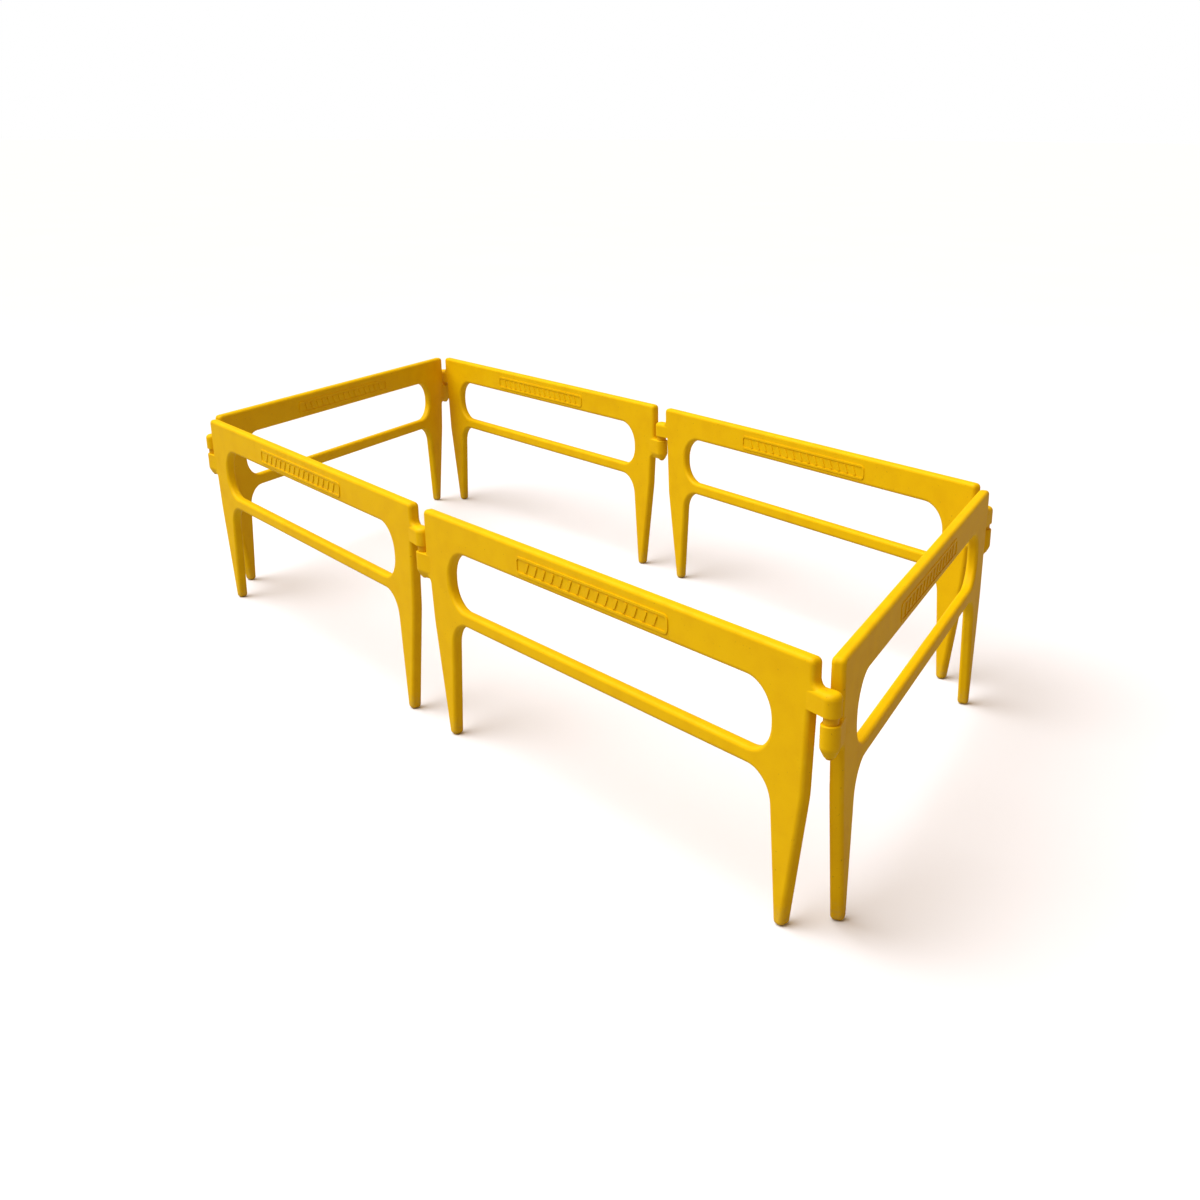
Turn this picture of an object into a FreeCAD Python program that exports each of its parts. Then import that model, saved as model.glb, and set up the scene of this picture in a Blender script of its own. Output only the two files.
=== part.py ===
"""Ring barrier of six hinged fence panels, millimetres, +Z up.

Six equal moulded panels stand in a closed ring, two along each long side and one across each end.
Every panel has a flat top rail, a window, a slim mid rail and two tapered legs.  At one end it carries a
lug and at the other end, a little lower, a socket.  A shouldered pin hangs in each lug and turns in the
next panel's socket.  The ring is symmetric about its centre, so opposite panels stay parallel.

Origin: the middle of the ring, on the ground.  X runs along the long sides.
"""

import FreeCAD, Part
import math
import os

V = FreeCAD.Vector

# --- the ring ------------------------------------------------------------------------------------
PITCH = 1200.0            # from hinge axis to hinge axis, the same on all six panels
MID_BEND = 2.0            # degrees that the two panels of a long side turn at their shared hinge
CORNER_TURN = 118.0       # degrees that the ring turns at the two sharp corners

# --- the panel, seen square on -------------------------------------------------------------------
HEIGHT = 485.0
THICKNESS = 24.0
TOP_RAIL_H = 68.0
WINDOW_H = 122.0
MID_RAIL_H = 31.0
POST_W = 91.0             # from the panel's end face to the window
SOCKET_END_GAP = 25.0     # from the hinge axis to the end face, on the socket's side
LUG_END_GAP = 30.0        # the same on the lug's side
LEG_END_GAP = 37.0        # from either axis to the end face below the hinge
LEG_KNEE_DROP = 15.0      # from the mid rail's underside down to the knee of the leg's outer edge
LEG_KNEE_INSET = 7.0      # the knee, further in than the end face above it
LEG_TIP_INSET = 46.0      # the tip's outer side, further in than the end face above it
LEG_TIP_W = 20.0
LEG_INNER_LEAN = 20.5     # the inner edge comes outwards this much from the mid rail to the tip

# --- roundings -----------------------------------------------------------------------------------
EDGE_R = 8.0              # all along both faces
TOP_CORNER_R = 10.0
WINDOW_TOP_R = 60.0
WINDOW_BOTTOM_R = 54.0
ARCH_R = 56.0
KNEE_R = 220.0
TIP_R = 9.0
STEP_R = 12.0

# --- the hinge -----------------------------------------------------------------------------------
BARREL_R = 16.5
LUG_DROP = 45.0           # from the top of the panel to the top of the lug
LUG_H = 38.0
SOCKET_H = 54.0
COLLAR_H = 13.0
END_PLAY = 0.4            # free height between a pin's collar and what turns above or below it
LUG_NECK_R = 12.0         # hollow rounding from the end face into the top of the lug
LUG_CROWN_R = 10.0
SOCKET_NECK_R = 11.0      # hollow rounding from the end face into the top of the socket
SOCKET_RIM_R = 2.5
SOCKET_TAPER_H = 14.0     # the socket's lower end draws in over this height
SOCKET_TAPER_IN = 7.0     # and by this much all round
SOCKET_TAPER_R = 12.0
BLEND_L = 52.0            # from the axis to where the barrel has run out into the panel's face
PIN_D = 14.0
COLLAR_D = 25.0
PIN_FIT = 0.1             # radial clearance of the pin in its bores
PIN_IN_LUG = 26.0         # length of the pin above its collar
BORE_SPARE = 2.0          # the blind bore is this much deeper than the pin
PIN_BELOW_SOCKET = 5.0
PIN_TIP_R = 3.5

# --- the plate on the top rail, both faces -------------------------------------------------------
PLATE_L = 456.0
PLATE_H = 35.0
PLATE_BELOW_TOP = 38.0    # from the top of the panel to the plate's middle
PLATE_CORNER_R = 10.0
PLATE_RIM_W = 4.6
PLATE_RELIEF = 1.8
BAR_COUNT = 15
BAR_W = 8.0
BAR_H = 19.0
BAR_SLANT = 9.0
BAR_END_SPACE = 22.0
ROOT = 1.0                # how deep a raised form is rooted in the face

# --- worked out ----------------------------------------------------------------------------------
RAIL_BOTTOM = HEIGHT - TOP_RAIL_H
WINDOW_BOTTOM = RAIL_BOTTOM - WINDOW_H
MID_BOTTOM = WINDOW_BOTTOM - MID_RAIL_H
KNEE_Z = MID_BOTTOM - LEG_KNEE_DROP
LUG_TOP = HEIGHT - LUG_DROP
LUG_BOTTOM = LUG_TOP - LUG_H
SOCKET_TOP = LUG_BOTTOM - COLLAR_H - END_PLAY
SOCKET_BOTTOM = SOCKET_TOP - SOCKET_H
TAPER_TOP = SOCKET_BOTTOM + SOCKET_TAPER_H
PIN_BOTTOM = SOCKET_BOTTOM - PIN_BELOW_SOCKET
HALF_T = THICKNESS / 2
TINY = 0.01

# The panels in order round the ring, each with the turn that leads into it.
# A panel's lug meets the socket of the one that follows.
BACK_TURN = 180.0 - MID_BEND - CORNER_TURN
PANELS = (
    ("front_left", BACK_TURN),
    ("front_right", MID_BEND),
    ("right_end", CORNER_TURN),
    ("back_right", BACK_TURN),
    ("back_left", MID_BEND),
    ("left_end", CORNER_TURN),
)
FIRST_HEADING = -MID_BEND / 2
LOOSE_PIN = "left_end"    # this panel's pin is free in its lug as well as in the socket


def rounded_wire(corners):
    """A closed wire in the XZ plane through corners (x, z, radius), each corner rounded by an arc."""
    count = len(corners)
    points = [V(x, 0, z) for x, z, radius in corners]
    starts, ends, middles = [], [], []
    for i in range(count):
        here = points[i]
        back = (points[i - 1] - here).normalize()
        ahead = (points[(i + 1) % count] - here).normalize()
        half = back.getAngle(ahead) / 2
        radius = corners[i][2]
        reach = radius / math.tan(half)
        to_centre = (back + ahead).normalize()
        starts.append(here + back * reach)
        ends.append(here + ahead * reach)
        middles.append(here + to_centre * (radius / math.sin(half) - radius))
    edges = []
    for i in range(count):
        if (ends[i] - starts[i]).Length > TINY:
            edges.append(Part.Arc(starts[i], middles[i], ends[i]).toShape())
        following = starts[(i + 1) % count]
        if (following - ends[i]).Length > TINY:
            edges.append(Part.LineSegment(ends[i], following).toShape())
    return Part.Wire(edges)


def slab(corners, thickness):
    """A plate of the rounded outline, centred on y = 0."""
    face = Part.Face(rounded_wire(corners))
    face.translate(V(0, -thickness / 2, 0))
    return face.extrude(V(0, thickness, 0))


def round_faces(solid, half, radius):
    """Round every edge that lies in the planes y = +half and y = -half."""
    edges = []
    for edge in solid.Edges:
        ys = [vertex.Point.y for vertex in edge.Vertexes]
        if all(abs(abs(y) - half) < TINY for y in ys) and max(ys) - min(ys) < TINY:
            edges.append(edge)
    return solid.makeFillet(radius, edges)


def outline():
    """The panel's outer edge: down the socket's end, round by both legs and up over the lug."""
    far = PITCH
    knee = LEG_END_GAP + LEG_KNEE_INSET
    tip_out = LEG_END_GAP + LEG_TIP_INSET
    tip_in = tip_out + LEG_TIP_W
    arch = tip_in + LEG_INNER_LEAN
    return [
        (SOCKET_END_GAP, HEIGHT, TOP_CORNER_R),
        (SOCKET_END_GAP, SOCKET_TOP - ROOT, SOCKET_NECK_R),
        (0, SOCKET_TOP - ROOT, STEP_R),
        (0, TAPER_TOP, STEP_R),
        (LEG_END_GAP, SOCKET_BOTTOM, STEP_R),
        (knee, KNEE_Z, KNEE_R),
        (tip_out, 0, TIP_R),
        (tip_in, 0, TIP_R),
        (arch, MID_BOTTOM, ARCH_R),
        (far - arch, MID_BOTTOM, ARCH_R),
        (far - tip_in, 0, TIP_R),
        (far - tip_out, 0, TIP_R),
        (far - knee, KNEE_Z, KNEE_R),
        (far - LEG_END_GAP, LUG_BOTTOM + ROOT, ROOT),
        (far, LUG_BOTTOM + ROOT, STEP_R),
        (far, LUG_TOP, STEP_R),
        (far - LUG_END_GAP, LUG_TOP, LUG_NECK_R),
        (far - LUG_END_GAP, HEIGHT, TOP_CORNER_R),
    ]


def window():
    """The opening between the top rail and the mid rail."""
    left = SOCKET_END_GAP + POST_W
    right = PITCH - LUG_END_GAP - POST_W
    return [
        (left, RAIL_BOTTOM, WINDOW_TOP_R),
        (left, WINDOW_BOTTOM, WINDOW_BOTTOM_R),
        (right, WINDOW_BOTTOM, WINDOW_BOTTOM_R),
        (right, RAIL_BOTTOM, WINDOW_TOP_R),
    ]


def drop(axis_x, towards, z, inset=0.0):
    """A drop-shaped wire round a vertical axis that runs out to the panel's faces, drawn in by inset."""
    radius = BARREL_R - inset
    half = HALF_T - ROOT - inset
    lean = math.asin((BARREL_R - HALF_T) / BLEND_L)
    touch_x = axis_x + towards * radius * math.sin(lean)
    touch_y = radius * math.cos(lean)
    end_x = axis_x + towards * BLEND_L
    nose = V(axis_x - towards * radius, 0, z)
    edges = [
        Part.Arc(V(touch_x, touch_y, z), nose, V(touch_x, -touch_y, z)).toShape(),
        Part.LineSegment(V(touch_x, -touch_y, z), V(end_x, -half, z)).toShape(),
        Part.LineSegment(V(end_x, -half, z), V(end_x, half, z)).toShape(),
        Part.LineSegment(V(end_x, half, z), V(touch_x, touch_y, z)).toShape(),
    ]
    return Part.Wire(edges)


def barrel(axis_x, towards, bottom, height):
    """A hinge barrel that runs out into the panel's faces like a drop in plan."""
    return Part.Face(drop(axis_x, towards, bottom)).extrude(V(0, 0, height))


def rim(solid, z, end_x):
    """The barrel's edges at height z, without the one buried in the panel."""
    found = []
    for edge in solid.Edges:
        zs = [vertex.Point.z for vertex in edge.Vertexes]
        xs = [vertex.Point.x for vertex in edge.Vertexes]
        level = all(abs(value - z) < TINY for value in zs)
        buried = all(abs(value - end_x) < TINY for value in xs)
        if level and not buried:
            found.append(edge)
    return found


def lug():
    solid = barrel(PITCH, -1, LUG_BOTTOM, LUG_H)
    return solid.makeFillet(LUG_CROWN_R, rim(solid, LUG_TOP, PITCH - BLEND_L))


def socket():
    ends = [drop(0, 1, SOCKET_BOTTOM, SOCKET_TAPER_IN), drop(0, 1, TAPER_TOP)]
    taper = Part.makeLoft(ends, True, True)
    solid = barrel(0, 1, TAPER_TOP, SOCKET_H - SOCKET_TAPER_H).fuse(taper).removeSplitter()
    solid = solid.makeFillet(SOCKET_TAPER_R, rim(solid, TAPER_TOP, BLEND_L))
    return solid.makeFillet(SOCKET_RIM_R, rim(solid, SOCKET_TOP, BLEND_L))


def bores():
    """What the pins pass through: right through the socket, and blind in the lug."""
    radius = PIN_D / 2 + PIN_FIT
    through = Part.makeCylinder(radius, SOCKET_H + 2 * ROOT, V(0, 0, SOCKET_BOTTOM - ROOT))
    depth = PIN_IN_LUG + BORE_SPARE
    blind = Part.makeCylinder(radius, depth + ROOT, V(PITCH, 0, LUG_BOTTOM - ROOT))
    return [through, blind]


def rectangle(length, height, radius):
    """A rounded rectangle round the plate's middle."""
    x = PITCH / 2
    z = HEIGHT - PLATE_BELOW_TOP
    return [
        (x - length / 2, z - height / 2, radius),
        (x + length / 2, z - height / 2, radius),
        (x + length / 2, z + height / 2, radius),
        (x - length / 2, z + height / 2, radius),
    ]


def plate():
    """The raised rim and the slanted bars inside it, on both faces of the top rail."""
    through = THICKNESS + 2 * PLATE_RELIEF
    outer = slab(rectangle(PLATE_L, PLATE_H, PLATE_CORNER_R), through)
    inner_l = PLATE_L - 2 * PLATE_RIM_W
    inner_h = PLATE_H - 2 * PLATE_RIM_W
    inner_r = PLATE_CORNER_R - PLATE_RIM_W
    pieces = [outer.cut(slab(rectangle(inner_l, inner_h, inner_r), through))]
    z = HEIGHT - PLATE_BELOW_TOP
    run = PLATE_L - 2 * BAR_END_SPACE
    for i in range(BAR_COUNT):
        x = PITCH / 2 + run * ((i + 0.5) / BAR_COUNT - 0.5)
        low = x - BAR_SLANT / 2
        high = x + BAR_SLANT / 2
        corners = [
            (low - BAR_W / 2, z - BAR_H / 2, ROOT),
            (low + BAR_W / 2, z - BAR_H / 2, ROOT),
            (high + BAR_W / 2, z + BAR_H / 2, ROOT),
            (high - BAR_W / 2, z + BAR_H / 2, ROOT),
        ]
        pieces.append(slab(corners, through))
    return pieces


def panel():
    body = slab(outline(), THICKNESS).cut(slab(window(), THICKNESS))
    body = round_faces(body, HALF_T, EDGE_R)
    solid = body.fuse([lug(), socket()] + plate())
    return solid.cut(bores()).removeSplitter()


def pin(play):
    """A shouldered hinge pin on the Z axis, its collar this far below the lug."""
    radius = PIN_D / 2
    collar_bottom = LUG_BOTTOM - COLLAR_H
    shank = Part.makeCylinder(radius, LUG_BOTTOM + PIN_IN_LUG - PIN_BOTTOM, V(0, 0, PIN_BOTTOM))
    ends = [edge for edge in shank.Edges if edge.Curve.TypeId == "Part::GeomCircle"]
    shank = shank.makeFillet(PIN_TIP_R, ends)
    collar = Part.makeCylinder(COLLAR_D / 2, COLLAR_H - play, V(0, 0, collar_bottom))
    return shank.fuse(collar).removeSplitter()


def hinge_axes():
    """Each panel's socket axis and heading, with the ring's middle at the origin."""
    places = []
    spot = V(0, 0, 0)
    heading = FIRST_HEADING - PANELS[0][1]
    for name, turn in PANELS:
        heading += turn
        places.append((name, spot, heading))
        angle = math.radians(heading)
        spot = spot + V(math.cos(angle), math.sin(angle), 0) * PITCH
    middle = places[0][1] + (places[3][1] - places[0][1]) * 0.5
    return [(name, spot - middle, heading) for name, spot, heading in places]


def placed(shape, spot, heading):
    copy = shape.copy()
    copy.rotate(V(0, 0, 0), V(0, 0, 1), heading)
    copy.translate(spot)
    return copy


def main():
    os.makedirs("parts", exist_ok=True)
    one_panel = panel()
    axes = hinge_axes()
    for i, (name, spot, heading) in enumerate(axes):
        placed(one_panel, spot, heading).exportStep(f"parts/panel_{name}.step")
        following = axes[(i + 1) % len(axes)][1]
        play = END_PLAY if name == LOOSE_PIN else 0.0
        placed(pin(play), following, heading).exportStep(f"parts/hinge_pin_{name}.step")
        print(f"{name}: socket axis {spot.x:.3f} {spot.y:.3f}, heading {heading:.2f}")
    box = one_panel.BoundBox
    print(f"panel: {len(one_panel.Solids)} solid, valid {one_panel.isValid()}, "
          f"{one_panel.Volume / 1e6:.3f} litres, z {box.ZMin:.1f} to {box.ZMax:.1f}")


main()
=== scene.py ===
# %% [markdown]
# # Finishes for a ring barrier of six hinged panels
#
# The real barrier is six equal yellow polyethylene panels that stand on their own legs in a closed ring.
# Each has a lug at one end and a socket at the other, and a loose plastic pin holds every corner together.
# All twelve pieces are hard mouldings whose shapes are already exact in the frame, so nothing here makes
# them again.  What is left to make is what the eye reads as plastic: colour, grain, rubbed edges, dust and
# light.  That is the work of this lesson.

# %% Load the frame
import math
import bpy
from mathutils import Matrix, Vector


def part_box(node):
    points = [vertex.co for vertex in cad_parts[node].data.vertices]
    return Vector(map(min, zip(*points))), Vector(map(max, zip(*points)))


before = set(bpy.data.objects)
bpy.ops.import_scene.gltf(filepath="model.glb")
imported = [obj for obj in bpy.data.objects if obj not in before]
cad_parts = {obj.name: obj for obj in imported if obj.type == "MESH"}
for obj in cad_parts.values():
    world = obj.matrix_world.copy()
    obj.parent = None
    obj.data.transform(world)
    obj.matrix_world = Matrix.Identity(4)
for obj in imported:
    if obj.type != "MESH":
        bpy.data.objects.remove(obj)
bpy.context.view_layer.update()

# %% [markdown]
# ## Where each panel is
#
# A finish has to know which way a panel runs: grain flows along it, dust lies at its feet, and edges are
# where its two faces turn over.  The corner pins give this away.  Each panel hangs between the pin of the
# panel before it and its own pin, so the middles of those two pins give its start and its direction.

# %% Panel frames from the pins
PANEL_NAMES = ("front_left", "front_right", "right_end", "back_right", "back_left", "left_end")


def pin_middle(name):
    low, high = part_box("hinge_pin_" + name)
    return (low + high) / 2


panel_places = {}
for number, name in enumerate(PANEL_NAMES):
    start = pin_middle(PANEL_NAMES[number - 1])
    run = pin_middle(name) - start
    heading = math.atan2(run.y, run.x)
    panel_places[name] = (Vector((start.x, start.y, 0)), heading)
    print(f"{name}: {run.length:.4f} m from pin to pin, heading {math.degrees(heading):.1f} degrees")

# %% [markdown]
# ## A small kit for building node trees
#
# Shader nodes can be placed by hand, but a tree that is built in code is easier to repeat and to read.
# A few short helpers do it.  One adds a node and fills in its sockets, one does a step of arithmetic, one
# turns a value into a soft step, and one blends two colours.

# %% Node helpers
def add(tree, kind, inputs=None, **settings):
    """A node of this kind.  A value in inputs is either a plain value or another node's output."""
    node = tree.nodes.new("ShaderNode" + kind)
    for key, value in settings.items():
        setattr(node, key, value)
    for key, value in (inputs or {}).items():
        if isinstance(value, bpy.types.NodeSocket):
            tree.links.new(value, node.inputs[key])
        else:
            node.inputs[key].default_value = value
    return node


def maths(tree, operation, first, second=0.0, clamp=False):
    """The result of one Math node."""
    node = add(tree, "Math", {0: first, 1: second}, operation=operation, use_clamp=clamp)
    return node.outputs[0]


def between(tree, value, low, high):
    """0 below low and 1 above high, with a smooth step in between."""
    sockets = {"Value": value, "From Min": low, "From Max": high}
    node = add(tree, "MapRange", sockets, interpolation_type="SMOOTHSTEP")
    return node.outputs["Result"]


def blend_colours(tree, amount, first, second):
    """The first colour where amount is 0 and the second where it is 1."""
    node = add(tree, "Mix", {"Factor": amount, 6: first, 7: second}, data_type="RGBA")
    return node.outputs[2]


# %% [markdown]
# ## Helpers for groups and materials
#
# A node group has named inputs and one output, so several materials can share an effect.  Almost every
# effect here starts from the same soft noise, so that gets a helper too, and so does an empty material.

# %% Group and material helpers
SOCKETS = {"vector": "NodeSocketVector", "value": "NodeSocketFloat", "colour": "NodeSocketColor"}


def open_group(name, inputs, output, output_kind):
    """A new shader group, with its input and output nodes."""
    tree = bpy.data.node_groups.new(name, "ShaderNodeTree")
    for label, kind in inputs.items():
        tree.interface.new_socket(name=label, in_out="INPUT", socket_type=SOCKETS[kind])
    tree.interface.new_socket(name=output, in_out="OUTPUT", socket_type=SOCKETS[output_kind])
    return tree, tree.nodes.new("NodeGroupInput").outputs, tree.nodes.new("NodeGroupOutput").inputs


def use_group(tree, group, inputs):
    """The one output of the group, placed in a material."""
    return add(tree, "Group", inputs, node_tree=group).outputs[0]


def speckle(tree, place, seed, size, detail=2.0, roughness=0.5):
    """Soft cloud noise whose lumps are about this size in metres."""
    sockets = {"Vector": place, "W": seed, "Scale": maths(tree, "DIVIDE", 1.0, size),
               "Detail": detail, "Roughness": roughness}
    return add(tree, "TexNoise", sockets, noise_dimensions="4D").outputs["Fac"]


def new_material(name):
    """A material with its tree and its Principled shader."""
    material = bpy.data.materials.new(name)
    material.use_nodes = True
    return material, material.node_tree, material.node_tree.nodes["Principled BSDF"]


# %% [markdown]
# ## Shared effect: coloured resin
#
# Yellow pigment is never mixed into polyethylene quite evenly.  Up close the plastic has faint deeper
# clouds and a few dark flecks of burnt resin.  An image could show this but would stretch at the rounded
# edges, so the clouds and flecks are solid noise that runs right through the plastic.

# %% Group: coloured resin
CLOUD_BAND = (0.35, 0.75)
FLECK_BAND = (0.70, 0.78)
RESIN_INPUTS = {
    "Place": "vector", "Seed": "value", "Base": "colour", "Deep": "colour", "Fleck": "colour",
    "Cloud Size": "value", "Fleck Size": "value", "Fleck Amount": "value",
}
resin, given, result = open_group("coloured resin", RESIN_INPUTS, "Colour", "colour")
clouds = speckle(resin, given["Place"], given["Seed"], given["Cloud Size"], detail=4.0)
cloudy = blend_colours(resin, between(resin, clouds, *CLOUD_BAND), given["Base"], given["Deep"])
flecks = speckle(resin, given["Place"], given["Seed"], given["Fleck Size"], detail=1.0)
fleck_mask = maths(resin, "MULTIPLY", between(resin, flecks, *FLECK_BAND), given["Fleck Amount"])
resin.links.new(blend_colours(resin, fleck_mask, cloudy, given["Fleck"]), result["Colour"])
print("group:", resin.name, len(resin.nodes), "nodes")

# %% [markdown]
# ## Shared effect: mould grain
#
# The steel mould is blasted so that the plastic comes out satin, not shiny, which leaves a fine pebble.
# Thick and thin walls also cool at different rates and leave long shallow ripples that bend reflections.
# Both are far too small to model as mesh, so they are a height for each material's own Bump node.

# %% Group: mould grain
GRAIN_INPUTS = {"Place": "vector", "Seed": "value", "Pebble Size": "value", "Ripple Size": "value",
                "Ripple Share": "value"}
grain, given, result = open_group("mould grain", GRAIN_INPUTS, "Height", "value")
pebble = speckle(grain, given["Place"], given["Seed"], given["Pebble Size"], detail=3.0)
ripple = speckle(grain, given["Place"], given["Seed"], given["Ripple Size"], detail=1.0)
raised = maths(grain, "MULTIPLY", ripple, given["Ripple Share"])
grain.links.new(maths(grain, "ADD", pebble, raised), result["Height"])
print("group:", grain.name, len(grain.nodes), "nodes")

# %% [markdown]
# ## Shared effect: rubbed edges
#
# Panels are stacked flat and slid over one another, so plastic polishes and pales where a face turns over
# into an edge.  A surface that looks square across the panel or square along it is flat; one that looks
# halfway between is on the rounding.  Testing the direction finds every rounding without painting it.  The
# square of the direction times what it lacks of 1 is a quarter at most, so four times that runs from 0 to 1.

# %% Group: rubbed edges
FULL_ROUNDING = 4.0
EDGE_BAND = (0.45, 1.0)
WORN_BAND = (0.42, 0.68)
RUB_INPUTS = {"Place": "vector", "Facing": "vector", "Seed": "value", "Patch Size": "value"}
rub, given, result = open_group("rubbed edges", RUB_INPUTS, "Mask", "value")
across = add(rub, "SeparateXYZ", {0: given["Facing"]}).outputs["Y"]
squared = maths(rub, "MULTIPLY", across, across)
rounding = maths(rub, "MULTIPLY", squared, maths(rub, "SUBTRACT", 1.0, squared))
on_edge = between(rub, maths(rub, "MULTIPLY", rounding, FULL_ROUNDING), *EDGE_BAND)
patches = speckle(rub, given["Place"], given["Seed"], given["Patch Size"], detail=5.0, roughness=0.65)
rub.links.new(maths(rub, "MULTIPLY", on_edge, between(rub, patches, *WORN_BAND)), result["Mask"])
print("group:", rub.name, len(rub.nodes), "nodes")

# %% [markdown]
# ## Shared effect: ground dust
#
# The barrier stands on pavement, so the tips of its legs pick up a little grey dust that thins out upwards.
# Height above the ground sets the amount and noise breaks its upper edge.

# %% Group: ground dust
DUST_BAND = (0.35, 0.75)
DUST_INPUTS = {"Place": "vector", "Seed": "value", "Reach": "value", "Patch Size": "value"}
dust, given, result = open_group("ground dust", DUST_INPUTS, "Mask", "value")
height = add(dust, "SeparateXYZ", {0: given["Place"]}).outputs["Z"]
nearness = maths(dust, "SUBTRACT", 1.0, maths(dust, "DIVIDE", height, given["Reach"]), clamp=True)
broken = speckle(dust, given["Place"], given["Seed"], given["Patch Size"], detail=5.0, roughness=0.7)
dust.links.new(maths(dust, "MULTIPLY", nearness, between(dust, broken, *DUST_BAND)), result["Mask"])
print("group:", dust.name, len(dust.nodes), "nodes")

# %% [markdown]
# ## Shared effect: handling scratches
#
# Sliding leaves hair-thin scratches that mostly run one way.  Noise that is squeezed across the run and
# stretched along it gives long streaks, and keeping only a thin slice of its values leaves single lines.

# %% Group: handling scratches
LINE_BAND = (0.66, 0.72)
SCRATCH_INPUTS = {"Place": "vector", "Seed": "value", "Stretch": "vector", "Line Size": "value"}
scratch, given, result = open_group("handling scratches", SCRATCH_INPUTS, "Mask", "value")
streaks = add(scratch, "VectorMath", {0: given["Place"], 1: given["Stretch"]}, operation="MULTIPLY")
lines = speckle(scratch, streaks.outputs[0], given["Seed"], given["Line Size"], detail=2.0)
scratch.links.new(between(scratch, lines, *LINE_BAND), result["Mask"])
print("group:", scratch.name, len(scratch.nodes), "nodes")

# %% [markdown]
# ## Panel plastic
#
# Each panel gets its own copy of the same recipe, because each lies at its own angle and no two mouldings
# are marked alike.  A Mapping node turns the coordinates to run along the panel, and a seed shifts the
# noise.  The coordinates are the panel's own, so its marks stay on it when the ring is folded.
#
# Smooth polyethylene would have an index of refraction of 1.51.  A blasted surface scatters most of the
# glancing shine that this gives, and the shader does not know that, so a lower index is used and the shaded
# end faces keep their deep ochre.

# %% Panel colours and sizes
FLECK_COLOUR = (0.330, 0.170, 0.004, 1.0)
RUBBED_COLOUR = (0.920, 0.640, 0.020, 1.0)
DUST_COLOUR = (0.330, 0.285, 0.215, 1.0)
PANEL_RESIN = {"Base": (0.850, 0.535, 0.001, 1.0), "Deep": (0.805, 0.485, 0.001, 1.0), "Fleck": FLECK_COLOUR,
               "Cloud Size": 0.045, "Fleck Size": 0.0042, "Fleck Amount": 0.50}
PANEL_RUB = {"Patch Size": 0.030}
PANEL_DUST = {"Reach": 0.045, "Patch Size": 0.008}
PANEL_SCRATCH = {"Stretch": (0.05, 1.0, 1.0), "Line Size": 0.0022}
PANEL_GRAIN = {"Pebble Size": 0.0024, "Ripple Size": 0.070, "Ripple Share": 6.0}
PANEL_BUMP = {"Strength": 0.30, "Distance": 0.0005}
PANEL_ROUGHNESS = 0.50
PANEL_SPECULAR = 0.30
RUB_PALES, RUB_SMOOTHS = 0.30, 0.12
SCRATCH_PALES, SCRATCH_ROUGHENS = 0.16, 0.10
DUST_COVERS, DUST_ROUGHENS = 0.45, 0.35
SATIN_IOR = 1.22
SEED_STEP = 7.3

# %% [markdown]
# ## The panel recipe
#
# The layers go on in the order of a panel's life: plastic from the mould, edges paled by rubbing, thin
# scratches, and dust last.  Rubbing makes the surface smoother, and scratches and dust make it rougher.

# %% Panel plastic
def panel_plastic(name, number):
    material, tree, shader = new_material("yellow polyethylene " + name)
    start, heading = panel_places[name]
    seed = number * SEED_STEP
    own = add(tree, "TexCoord").outputs
    place = add(tree, "Mapping", {"Vector": own["Object"], "Location": start,
                                  "Rotation": (0, 0, heading)}, vector_type="TEXTURE").outputs[0]
    facing = add(tree, "Mapping", {"Vector": own["Normal"], "Rotation": (0, 0, -heading)},
                 vector_type="VECTOR").outputs[0]
    shared = {"Place": place, "Seed": seed}
    plastic = use_group(tree, resin, {**shared, **PANEL_RESIN})
    rubbed = use_group(tree, rub, {**shared, "Facing": facing, **PANEL_RUB})
    dusty = use_group(tree, dust, {**shared, **PANEL_DUST})
    marks = use_group(tree, scratch, {**shared, **PANEL_SCRATCH})
    height = use_group(tree, grain, {**shared, **PANEL_GRAIN})
    colour = blend_colours(tree, maths(tree, "MULTIPLY", rubbed, RUB_PALES), plastic, RUBBED_COLOUR)
    colour = blend_colours(tree, maths(tree, "MULTIPLY", marks, SCRATCH_PALES), colour, RUBBED_COLOUR)
    colour = blend_colours(tree, maths(tree, "MULTIPLY", dusty, DUST_COVERS), colour, DUST_COLOUR)
    rough = maths(tree, "SUBTRACT", PANEL_ROUGHNESS, maths(tree, "MULTIPLY", rubbed, RUB_SMOOTHS))
    rough = maths(tree, "ADD", rough, maths(tree, "MULTIPLY", dusty, DUST_ROUGHENS))
    rough = maths(tree, "ADD", rough, maths(tree, "MULTIPLY", marks, SCRATCH_ROUGHENS))
    bump = add(tree, "Bump", {"Height": height, **PANEL_BUMP})
    tree.links.new(colour, shader.inputs["Base Color"])
    tree.links.new(rough, shader.inputs["Roughness"])
    tree.links.new(bump.outputs[0], shader.inputs["Normal"])
    shader.inputs["IOR"].default_value = SATIN_IOR
    shader.inputs["Specular IOR Level"].default_value = PANEL_SPECULAR
    return material


for number, name in enumerate(PANEL_NAMES):
    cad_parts["panel_" + name].material_slots[0].material = panel_plastic(name, number)
print("panels finished:", len(PANEL_NAMES))
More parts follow.
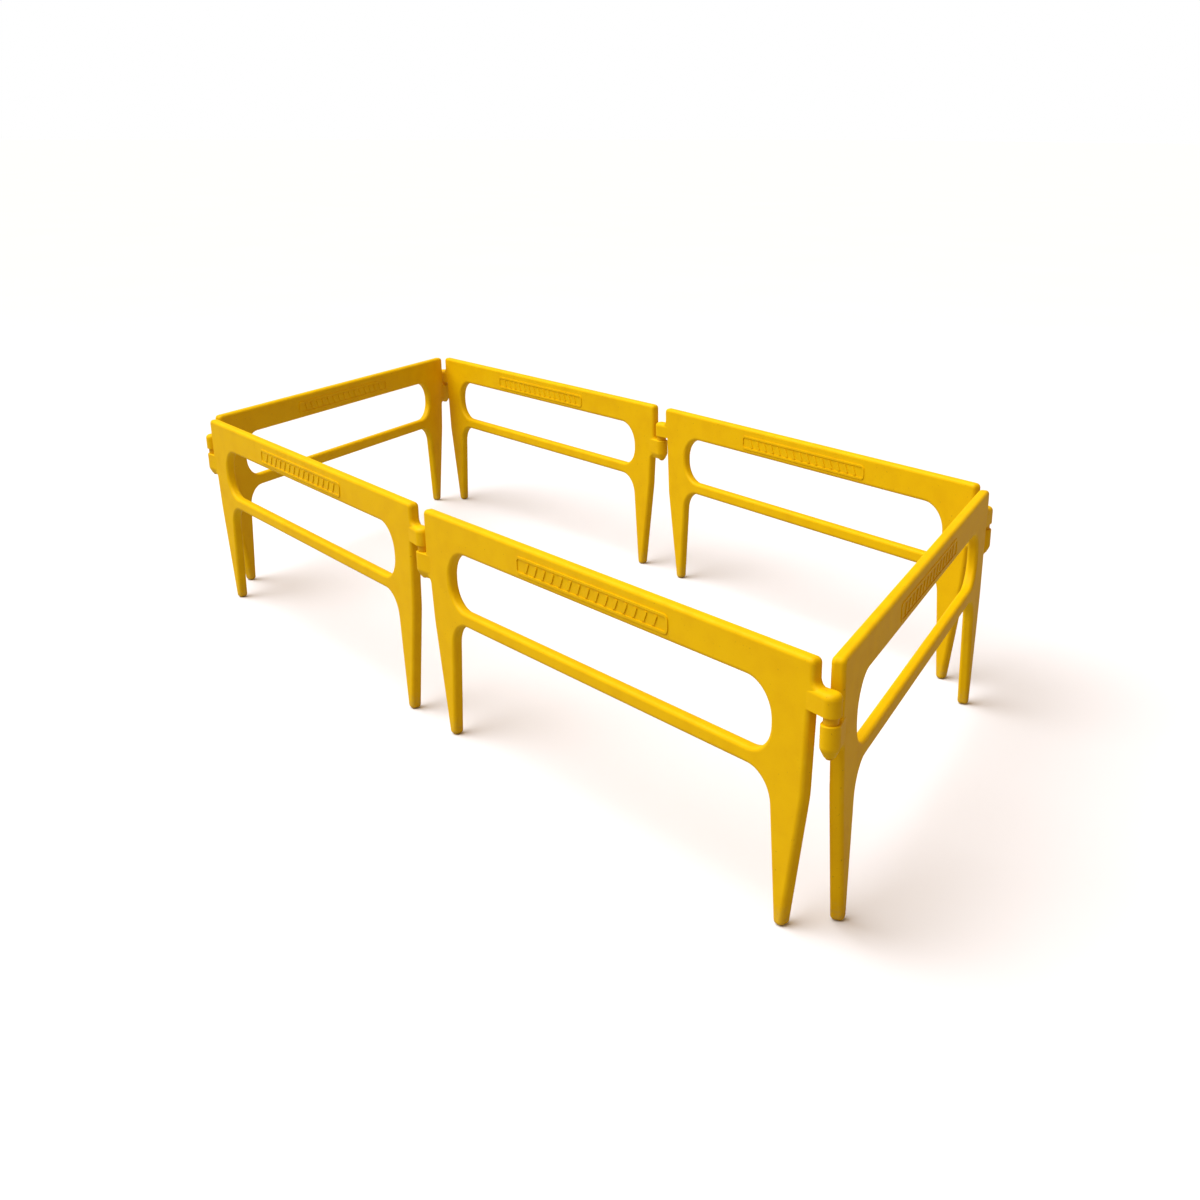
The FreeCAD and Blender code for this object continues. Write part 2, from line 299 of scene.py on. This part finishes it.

# %% [markdown]
# ## Hinge pin plastic
#
# The pins are small solid mouldings in the same yellow.  Their base colour is a shade deeper than the
# panels', partly because they are thick and partly as painted shade for the shadow of the lug they sit in.
# They turn in their sockets, so their scratches go round instead of along.  That is the same scratch effect,
# stretched both ways across the pin and fine only in height.

# %% Hinge pin plastic
# The deeper pin base colour is partly painted shade, standing in for the shadow of the lug.
PIN_RESIN_AND_PAINTED_SHADE = {"Base": (0.790, 0.450, 0.001, 1.0), "Deep": (0.730, 0.390, 0.001, 1.0), "Fleck": FLECK_COLOUR,
             "Cloud Size": 0.020, "Fleck Size": 0.0020, "Fleck Amount": 0.25}
PIN_SCRATCH = {"Stretch": (0.03, 0.03, 1.0), "Line Size": 0.0009}
PIN_GRAIN = {"Pebble Size": 0.0012, "Ripple Size": 0.012, "Ripple Share": 1.5}
PIN_BUMP = {"Strength": 0.25, "Distance": 0.0002}
PIN_ROUGHNESS = 0.38
PIN_SPECULAR = 0.45
RINGS_PALE, RINGS_ROUGHEN = 0.30, 0.15


def pin_plastic(name, number):
    material, tree, shader = new_material("yellow pin plastic " + name)
    seed = (number + len(PANEL_NAMES)) * SEED_STEP
    middle = pin_middle(name)
    place = add(tree, "Mapping", {"Vector": add(tree, "TexCoord").outputs["Object"],
                                  "Location": (middle.x, middle.y, 0)},
                vector_type="TEXTURE").outputs[0]
    shared = {"Place": place, "Seed": seed}
    plastic = use_group(tree, resin, {**shared, **PIN_RESIN_AND_PAINTED_SHADE})
    rings = use_group(tree, scratch, {**shared, **PIN_SCRATCH})
    height = use_group(tree, grain, {**shared, **PIN_GRAIN})
    colour = blend_colours(tree, maths(tree, "MULTIPLY", rings, RINGS_PALE), plastic, RUBBED_COLOUR)
    rough = maths(tree, "ADD", PIN_ROUGHNESS, maths(tree, "MULTIPLY", rings, RINGS_ROUGHEN))
    bump = add(tree, "Bump", {"Height": height, **PIN_BUMP})
    tree.links.new(colour, shader.inputs["Base Color"])
    tree.links.new(rough, shader.inputs["Roughness"])
    tree.links.new(bump.outputs[0], shader.inputs["Normal"])
    shader.inputs["IOR"].default_value = SATIN_IOR
    shader.inputs["Specular IOR Level"].default_value = PIN_SPECULAR
    return material


for number, name in enumerate(PANEL_NAMES):
    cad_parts["hinge_pin_" + name].material_slots[0].material = pin_plastic(name, number)
print("pins finished:", len(PANEL_NAMES))

# %% [markdown]
# ## Floor
#
# A plain pale floor shows where the legs stand without drawing the eye.  It is a single large sheet that
# runs to the horizon, so no edge of it is seen from any side.  A white floor would throw so much light up
# that the shaded faces of the barrier turn milky, which is why a studio lays dark cloth just out of frame.
# Light Path does the same here: the floor is pale where it is looked at, and darker where it lights others.

# %% Floor
FLOOR_HALF = 150.0
FLOOR_DROP = 0.0005
FLOOR_CLOUD_SIZE = 0.9
FLOOR_PALE = (0.82, 0.85, 0.92, 1.0)
FLOOR_PALER = (0.85, 0.88, 0.95, 1.0)
FLOOR_BOUNCE = (0.36, 0.36, 0.36, 1.0)
FLOOR_ROUGHNESS = 0.9
corners = [(-FLOOR_HALF, -FLOOR_HALF), (FLOOR_HALF, -FLOOR_HALF), (FLOOR_HALF, FLOOR_HALF),
           (-FLOOR_HALF, FLOOR_HALF)]
floor_mesh = bpy.data.meshes.new("studio_floor")
floor_mesh.from_pydata([(x, y, -FLOOR_DROP) for x, y in corners], [], [(0, 1, 2, 3)])
floor = bpy.data.objects.new("studio_floor", floor_mesh)
bpy.context.scene.collection.objects.link(floor)
floor_paint, tree, shader = new_material("pale floor paint")
floor_place = add(tree, "TexCoord").outputs["Object"]
floor_clouds = speckle(tree, floor_place, 0.0, FLOOR_CLOUD_SIZE)
pale = blend_colours(tree, floor_clouds, FLOOR_PALE, FLOOR_PALER)
looked_at = add(tree, "LightPath").outputs["Is Camera Ray"]
tree.links.new(blend_colours(tree, looked_at, FLOOR_BOUNCE, pale), shader.inputs["Base Color"])
shader.inputs["Roughness"].default_value = FLOOR_ROUGHNESS
shader.inputs["Specular IOR Level"].default_value = 0.0
floor_mesh.materials.append(floor_paint)
print("floor:", 2 * FLOOR_HALF, "m square")

# %% [markdown]
# ## Light
#
# The key light is broad and comes from the upper left in front, so the long faces and the tops are bright
# and the end faces fall into a warm shade.  A Sun with a wide disc gives the same light at both ends of a
# three-metre ring, which a lamp close by would not.  A softbox overhead draws the highlight along the
# rounded top edges.

# %% Light
KEY_TOWARDS = (-0.28, -0.42, 0.86)
KEY_DISTANCE = 8.0
KEY_ENERGY = 3.3
KEY_DISC = 60
SOFTBOX_TOWARDS = (-0.1, -0.25, 1.0)
SOFTBOX_DISTANCE = 4.5
SOFTBOX_ENERGY = 40.0
SOFTBOX_SIZE = 3.5
scene = bpy.context.scene
scene.view_settings.view_transform = "Standard"


def add_light(name, kind, towards, distance, **settings):
    """A light that stands in the direction towards, and points at the ring."""
    data = bpy.data.lights.new(name, kind)
    for key, value in settings.items():
        setattr(data, key, value)
    lamp = bpy.data.objects.new(name, data)
    direction = Vector(towards).normalized()
    lamp.location = direction * distance
    lamp.rotation_mode = "QUATERNION"
    lamp.rotation_quaternion = direction.to_track_quat("Z", "Y")
    scene.collection.objects.link(lamp)


add_light("key", "SUN", KEY_TOWARDS, KEY_DISTANCE, energy=KEY_ENERGY, angle=math.radians(KEY_DISC))
add_light("overhead softbox", "AREA", SOFTBOX_TOWARDS, SOFTBOX_DISTANCE, energy=SOFTBOX_ENERGY,
          size=SOFTBOX_SIZE)

# %% [markdown]
# ## Fill light and backdrop
#
# The world does two jobs.  It lights the ring softly and warmly from all round, so shade turns ochre and not
# grey, and behind the ring it is plain white where it is looked at.  Light Path keeps the two apart.

# %% World
FILL_COLOUR = (1.0, 0.66, 0.36, 1.0)
FILL_STRENGTH = 0.40
BACKDROP_COLOUR = (1.0, 1.0, 1.0, 1.0)
world = bpy.data.worlds.new("studio")
world.use_nodes = True
scene.world = world
sky = world.node_tree
fill = sky.nodes["Background"]
fill.inputs["Color"].default_value = FILL_COLOUR
fill.inputs["Strength"].default_value = FILL_STRENGTH
backdrop = add(sky, "Background", {"Color": BACKDROP_COLOUR, "Strength": 1.0})
seen = add(sky, "LightPath").outputs["Is Camera Ray"]
mixed = add(sky, "MixShader", {0: seen, 1: fill.outputs[0], 2: backdrop.outputs[0]})
sky.links.new(mixed.outputs[0], sky.nodes["World Output"].inputs["Surface"])
print("world:", world.name, len(sky.nodes), "nodes")

# %% [markdown]
# ## Camera
#
# The view is from standing height at the near right corner, so one long side runs away to the left and
# one end runs away to the right.  The lens is a little longer than normal, and a small shift places the
# ring in the picture without tilting the upright legs.

# %% Camera
CAMERA_PLACE = (2.8585, -1.9135, 1.2200)
CAMERA_TURN = (69.01, -0.29, 50.764)
SENSOR_WIDTH = 36.0
LENS = 42.11
SHIFT_X, SHIFT_Y = -0.0780, 0.0569
camera_data = bpy.data.cameras.new("camera")
camera_data.sensor_width = SENSOR_WIDTH
camera_data.lens = LENS
camera_data.shift_x = SHIFT_X
camera_data.shift_y = SHIFT_Y
camera = bpy.data.objects.new("camera", camera_data)
camera.location = CAMERA_PLACE
camera.rotation_euler = [math.radians(angle) for angle in CAMERA_TURN]
scene.collection.objects.link(camera)
scene.camera = camera
print("camera at", CAMERA_PLACE)
